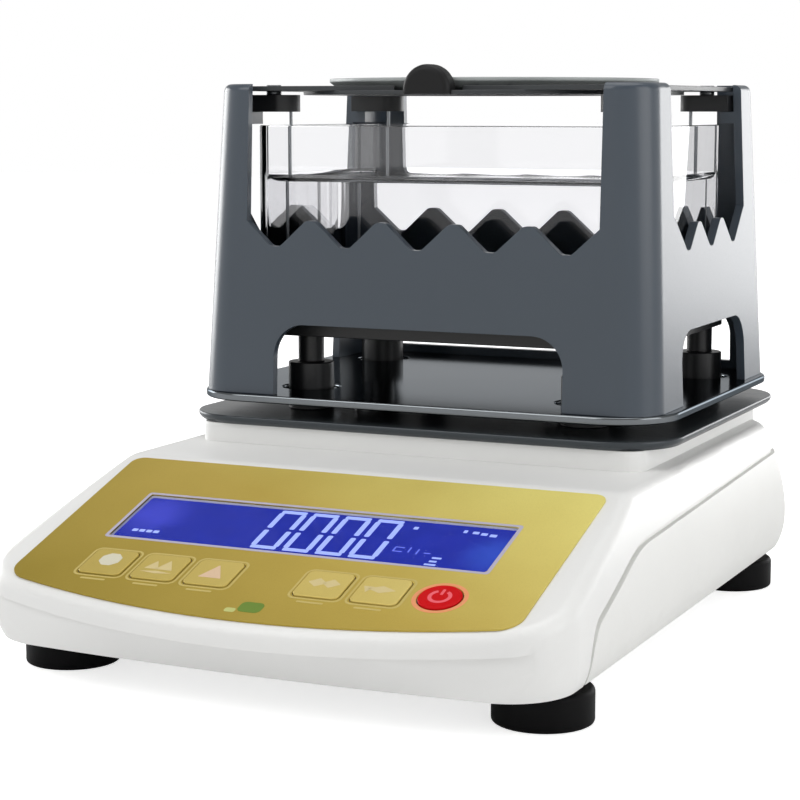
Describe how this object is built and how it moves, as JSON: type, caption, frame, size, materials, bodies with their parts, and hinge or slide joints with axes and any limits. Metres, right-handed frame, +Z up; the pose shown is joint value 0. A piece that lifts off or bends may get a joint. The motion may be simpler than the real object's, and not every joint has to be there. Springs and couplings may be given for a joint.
{
  "type": "benchtop density meter",
  "caption": "Benchtop electronic density meter: weighing base with sloping keypad and display, slotted rack on the pan, clear water tank on its own stand, dish and hanging basket.",
  "frame": {"origin": "on the bench under the middle of the base", "axes": "+X to the right of the operator, +Y to the back, +Z up"},
  "size_m": [0.1902, 0.2712, 0.1861],
  "materials": {
    "white_abs": "satin moulded ABS",
    "white_abs_lower": "fine-grained moulded ABS",
    "gold_film": "gold printed polyester film",
    "gold_key": "gold printed, soft gloss",
    "red_key": "red gloss",
    "clear_window": "clear polycarbonate",
    "lcd_blue": "backlit liquid crystal",
    "circuit_board": "solder mask",
    "switch_plastic": "moulded",
    "standoff_nylon": "natural nylon",
    "foot_rubber": "moulded rubber on a hard core",
    "zinc_steel": "zinc plated steel",
    "insert_brass": "machined",
    "cell_aluminium": "machined",
    "cap_rubber": "soft moulded",
    "plate_steel": "stainless sheet, satin",
    "pan_steel": "stainless sheet, polished",
    "slate_abs": "satin moulded ABS",
    "clear_acrylic": "clear cast acrylic",
    "black_abs": "moulded ABS",
    "dish_alloy": "satin anodised",
    "wire_steel": "stainless wire",
    "basket_steel": "perforated stainless sheet",
    "socket_plastic": "moulded"
  },
  "bodies": {
    "base": {"upper_housing": "white_abs", "lower_housing": "white_abs_lower", "panel_overlay": "gold_film", "display_window": "clear_window", "display_module": "lcd_blue", "key_board": "circuit_board", "key_switches": "switch_plastic", "foot_inserts": "insert_brass", "load_cell": "cell_aluminium", "load_cell_foot": "cell_aluminium", "load_cell_screws": "zinc_steel", "carrier_screws": "zinc_steel", "pan_carrier": "cell_aluminium", "peg_caps": "cap_rubber", "deck_plate": "plate_steel", "main_board": "circuit_board", "board_standoffs": "standoff_nylon", "power_socket": "socket_plastic", "serial_socket": "socket_plastic", "tank_stand": "black_abs", "water_tank": "clear_acrylic"},
    "count_key_cap": {"count_key": "gold_key"},
    "mode_key_cap": {"mode_key": "gold_key"},
    "print_key_cap": {"print_key": "gold_key"},
    "zero_key_cap": {"zero_key": "gold_key"},
    "enter_key_cap": {"enter_key": "gold_key"},
    "power_key_cap": {"power_key": "red_key"},
    "foot_front_left_body": {"foot_front_left": "foot_rubber", "foot_stud_front_left": "zinc_steel"},
    "foot_front_right_body": {"foot_front_right": "foot_rubber", "foot_stud_front_right": "zinc_steel"},
    "foot_rear_left_body": {"foot_rear_left": "foot_rubber", "foot_stud_rear_left": "zinc_steel"},
    "foot_rear_right_body": {"foot_rear_right": "foot_rubber", "foot_stud_rear_right": "zinc_steel"},
    "pan": {"weighing_pan": "pan_steel"},
    "rack_body": {"rack": "slate_abs"},
    "hanger": {"dish_carrier": "black_abs", "dish": "dish_alloy", "lift_knob": "black_abs", "hanger_blocks": "black_abs", "hanger_pins": "wire_steel", "hanging_wires": "wire_steel", "basket": "basket_steel"}
  },
  "joints": [
    {"name": "count_key_press", "type": "slide", "parent": "base", "child": "count_key_cap", "axis": [0, 0.3074, -0.9516], "range_m": [0, 0.0005], "stiffness_N_per_m": 2000, "springref_m": -0.0003},
    {"name": "mode_key_press", "type": "slide", "parent": "base", "child": "mode_key_cap", "axis": [0, 0.3074, -0.9516], "range_m": [0, 0.0005], "stiffness_N_per_m": 2000, "springref_m": -0.0003},
    {"name": "print_key_press", "type": "slide", "parent": "base", "child": "print_key_cap", "axis": [0, 0.3074, -0.9516], "range_m": [0, 0.0005], "stiffness_N_per_m": 2000, "springref_m": -0.0003},
    {"name": "zero_key_press", "type": "slide", "parent": "base", "child": "zero_key_cap", "axis": [0, 0.3074, -0.9516], "range_m": [0, 0.0005], "stiffness_N_per_m": 2000, "springref_m": -0.0003},
    {"name": "enter_key_press", "type": "slide", "parent": "base", "child": "enter_key_cap", "axis": [0, 0.3074, -0.9516], "range_m": [0, 0.0005], "stiffness_N_per_m": 2000, "springref_m": -0.0003},
    {"name": "power_key_press", "type": "slide", "parent": "base", "child": "power_key_cap", "axis": [0, 0.3074, -0.9516], "range_m": [0, 0.0005], "stiffness_N_per_m": 2000, "springref_m": -0.0003},
    {"name": "foot_front_left_screw", "type": "slide", "parent": "base", "child": "foot_front_left_body", "axis": [0, 0, 1], "range_m": [-0.006, 0.001]},
    {"name": "foot_front_right_screw", "type": "slide", "parent": "base", "child": "foot_front_right_body", "axis": [0, 0, 1], "range_m": [-0.006, 0.001]},
    {"name": "foot_rear_left_screw", "type": "slide", "parent": "base", "child": "foot_rear_left_body", "axis": [0, 0, 1], "range_m": [-0.006, 0.001]},
    {"name": "foot_rear_right_screw", "type": "slide", "parent": "base", "child": "foot_rear_right_body", "axis": [0, 0, 1], "range_m": [-0.006, 0.001]},
    {"name": "pan_lift", "type": "slide", "parent": "base", "child": "pan", "axis": [0, 0, 1], "range_m": [0, 0.015]},
    {"name": "rack_lift", "type": "slide", "parent": "pan", "child": "rack_body", "axis": [0, 0, 1], "range_m": [0, 0.12]},
    {"name": "hanger_lift", "type": "slide", "parent": "rack_body", "child": "hanger", "axis": [0, 0, 1], "range_m": [0, 0.075]}
  ]
}
